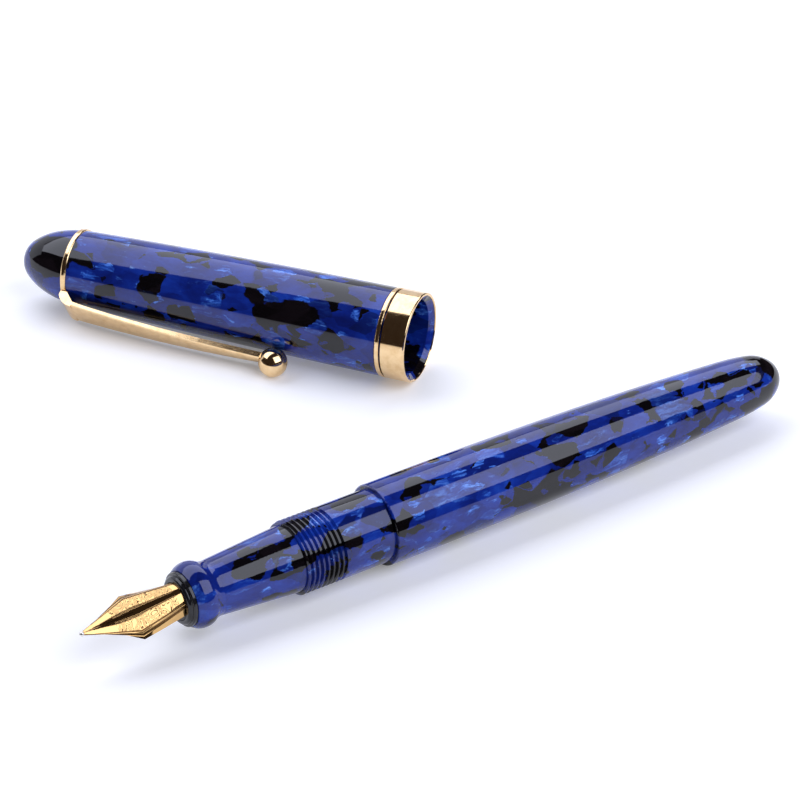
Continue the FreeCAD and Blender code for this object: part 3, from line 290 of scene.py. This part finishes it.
def nib_metal(name):
    """yellow gold nib with an engraved border, two lines beside the middle and a generic scroll"""
    t = Tree(name)
    p = t.coords((STEP_X, PEN_Y, PEN_Z), (NIB_ROLL, 0, 0))
    x, y, z = t.xyz(p)[:3]
    s = t.math("MULTIPLY", x, -1.0)                      # distance in front of the step
    v = t.math("ABSOLUTE", y)
    # half width of the nib at s
    front = t.remap(s, 42.9, 51.3, 4.0, 0.35)
    back = t.remap(s, 35.3, 42.9, 2.6, 4.0)
    half = t.math("MINIMUM", front, back)
    rel = t.math("DIVIDE", v, half)
    fine = t.noise(p, 6.0, 3.0, 0.6)

    def band(value, centre, width):
        d = t.math("ABSOLUTE", t.math("SUBTRACT", value, centre))
        return t.math("SUBTRACT", 1.0, t.step(d, width * 0.45, width))

    border = t.math("MAXIMUM", band(rel, 0.86, 0.060), band(rel, 0.74, 0.040))
    # scrolls between the border and the middle
    ringn = t.noise(p, 0.62, 1.0, 0.4, 0.9)
    waves = t.math("SINE", t.math("MULTIPLY", ringn.outputs["Fac"], 48.0))
    scroll = t.math("SUBTRACT", 1.0, t.step(t.math("ABSOLUTE", waves), 0.16, 0.46))
    inside = t.math("MULTIPLY", t.math("LESS_THAN", rel, 0.74), t.math("GREATER_THAN", s, 36.2))
    inside = t.math("MULTIPLY", inside, t.math("LESS_THAN", s, 46.2))
    clearing = t.math("GREATER_THAN", rel, 0.16)
    scroll = t.math("MULTIPLY", scroll, t.math("MULTIPLY", inside, clearing))
    mid = t.math("MULTIPLY", band(rel, 0.16, 0.03), inside)
    cut = t.math("MAXIMUM", t.math("MAXIMUM", border, scroll), mid)
    cut = t.math("MULTIPLY", cut, t.math("LESS_THAN", s, 49.6))
    col = t.mix(cut, rgb(0.66, 0.41, 0.16), rgb(0.10, 0.045, 0.012))
    col = t.mix(t.math("MULTIPLY", t.step(fine.outputs["Fac"], 0.4, 0.8), 0.25), col, rgb(0.76, 0.50, 0.24))
    t.set(Base_Color=col, Metallic=1.0)
    t.put(t.shader.inputs["Roughness"], t.remap(cut, 0.0, 1.0, 0.09, 0.30))
    t.bump(t.math("MULTIPLY", cut, -1.0), 0.6, 0.00005)
    return t.mat


PEN_O = (STEP_X, PEN_Y, PEN_Z)
CAP_O = tuple(CAP_MOUTH)
CAP_T = (0.0, 0.0, CAP_YAW)
GOLD, GOLD2 = (0.86, 0.62, 0.34), (0.76, 0.51, 0.25)

pen_acrylic = acrylic("acrylic_pen", PEN_O, (0, 0, 0), (3.0, 40.0, 11.0),
                      dark_spots=((77.5, 0.5, 1.5, 7.5, 4.6), (-24.0, -2.6, 3.4, 3.2, 1.6), (-4.5, 0.5, 5.0, 3.4, 1.9)),
                      clear_spots=((-33.0, -2.0, 3.0, 3.4, 6.0), (-28.0, -3.0, 1.0, 2.6, 2.6), (12.0, -4.6, 3.0, 9.0, 3.2)))
cap_acrylic = acrylic("acrylic_cap", CAP_O, CAP_T, (61.0, 7.0, 23.0),
                      dark_spots=((65.5, 4.0, 4.2, 5.2, 4.0), (20.0, 6.0, 3.4, 5.0, 2.6)),
                      clear_spots=((0.0, -5.0, -1.0, 3.0, 5.5),))
black = plastic("black_resin", (0.006, 0.006, 0.008), (0.012, 0.012, 0.014), 0.10)
feed_mat = plastic("feed_resin", (0.010, 0.010, 0.011), (0.022, 0.021, 0.022), 0.42, 3.0, 0.00002)
liner = plastic("liner_resin", (0.008, 0.008, 0.010), (0.018, 0.018, 0.020), 0.30, 1.5, 0.00002)
trim_cap = gold("gold_trim_cap", GOLD, GOLD2, 0.07, CAP_T)
trim_clip = gold("gold_trim_clip", GOLD, GOLD2, 0.09, CAP_T)
nib_mat = nib_metal("nib_gold")
tip_mat = gold("hard_point", (0.80, 0.78, 0.74), (0.62, 0.60, 0.57), 0.16)
nickel = gold("nickel_plate", (0.78, 0.77, 0.75), (0.66, 0.65, 0.63), 0.10)
seal = plastic("seal_resin", (0.82, 0.82, 0.80), (0.70, 0.70, 0.68), 0.35, 2.5)
rod = plastic("rod_resin", (0.78, 0.78, 0.75), (0.66, 0.66, 0.63), 0.40, 2.0)
tube = clear("clear_resin")

LOOKS = {
    "barrel": pen_acrylic, "section": pen_acrylic,
    "cap_shell": cap_acrylic, "cap_finial": cap_acrylic,
    "nib_housing": black, "feed": feed_mat, "converter_knob": black, "inner_cap": liner,
    "nib": nib_mat, "nib_tipping": tip_mat,
    "converter_tube": tube, "converter_sleeve": nickel, "converter_collar": nickel,
    "piston_seal": seal, "piston_rod": rod, "rod_guide": rod,
    "cap_band": trim_cap, "cap_trim_ring": trim_cap, "clip_ring": trim_cap,
    "clip_arm": trim_clip, "clip_ball": trim_clip,
}
for name, obj in NODES.items():
    mat = LOOKS[name]
    if not obj.material_slots:
        obj.data.materials.append(mat)
    for slot in obj.material_slots:
        slot.material = mat

# -------------------------------------------------------------------- stage
floor_mesh = bpy.data.meshes.new("floor_mesh")
floor_mesh.from_pydata([(-4, -4, 0), (4, -4, 0), (4, 4, 0), (-4, 4, 0)], [], [(0, 1, 2, 3)])
floor = bpy.data.objects.new("floor", floor_mesh)
floor.location.z = -0.00002
bpy.context.scene.collection.objects.link(floor)
ft = Tree("floor_paper")
fp = ft.coords()
grain = ft.noise(fp, 0.05, 3.0, 0.5)
ft.set(Base_Color=ft.mix(grain.outputs["Fac"], rgb(0.86, 0.86, 0.86), rgb(0.89, 0.89, 0.89)), Roughness=0.9)
ft.shader.inputs["Specular IOR Level"].default_value = 0.1
ft.shader.inputs["Emission Color"].default_value = (1.0, 1.0, 1.0, 1.0)
ft.shader.inputs["Emission Strength"].default_value = 0.22
floor.data.materials.append(ft.mat)

# ------------------------------------------------------------------- lights
CENTRE = Vector((0.0, 0.0, 0.007))


def panel(name, centre, along, across, radiance, colour=(1, 1, 1)):
    """a softbox: a rectangle spanned by two full side vectors; it shines towards the object"""
    along, across = Vector(along), Vector(across)
    x = along.normalized()
    z = x.cross(across).normalized()
    if z.dot(Vector(centre) - CENTRE) < 0:
        z = -z
    y = z.cross(x)
    d = bpy.data.lights.new(name, "AREA")
    d.shape = "RECTANGLE"
    d.size, d.size_y = along.length, across.length
    d.energy = radiance * math.pi * along.length * across.length
    d.color = colour
    o = bpy.data.objects.new(name, d)
    m = Matrix((x, y, z)).transposed().to_4x4()
    m.translation = Vector(centre)
    o.matrix_world = m
    bpy.context.scene.collection.objects.link(o)
    return o


def between(name, y0, z0, y1, z1, x0, x1, radiance, colour=(1, 1, 1)):
    c = ((x0 + x1) / 2, (y0 + y1) / 2, (z0 + z1) / 2)
    return panel(name, c, (x1 - x0, 0, 0), (0, y1 - y0, z1 - z0), radiance, colour)


COOL = (0.92, 0.96, 1.12)
between("top_box", 0.15, 0.70, 0.95, 0.62, -0.75, 1.05, 2.5, COOL)
between("back_box", 0.97, 0.60, 1.25, 0.01, -1.0, 1.6, 0.85, COOL)
th0, th1, rp = math.radians(17.2), math.radians(63.0), 0.62
between("side_box", -rp * math.sin(th0) / 1.0 + PEN_Y, rp * math.cos(th0), -rp * math.sin(th1) + PEN_Y, rp * math.cos(th1), -0.12, 0.75, 2.7, COOL)

world = bpy.data.worlds.new("room")
bpy.context.scene.world = world
world.use_nodes = True
bg = world.node_tree.nodes["Background"]
bg.inputs["Color"].default_value = (0.55, 0.42, 0.38, 1)
bg.inputs["Strength"].default_value = 0.06

# ------------------------------------------------------------------- camera
cam_data = bpy.data.cameras.new("camera")
cam_data.sensor_width = 36.0
cam_data.lens = 165.55
cam_data.clip_start = 0.01
cam_data.clip_end = 20.0
cam = bpy.data.objects.new("camera", cam_data)
aim = Vector((0.4792, 0.6990, -0.5309)).normalized()
right = Vector((0.8248, -0.5654, 0.0)).normalized()
up = right.cross(aim)
m = Matrix((right, up, -aim)).transposed().to_4x4()
m.translation = Vector((STEP_X - 0.25823, PEN_Y - 0.38341, PEN_Z + 0.31201))
cam.matrix_world = m
bpy.context.scene.collection.objects.link(cam)
bpy.context.scene.camera = cam
bpy.context.scene.view_settings.view_transform = "Standard"
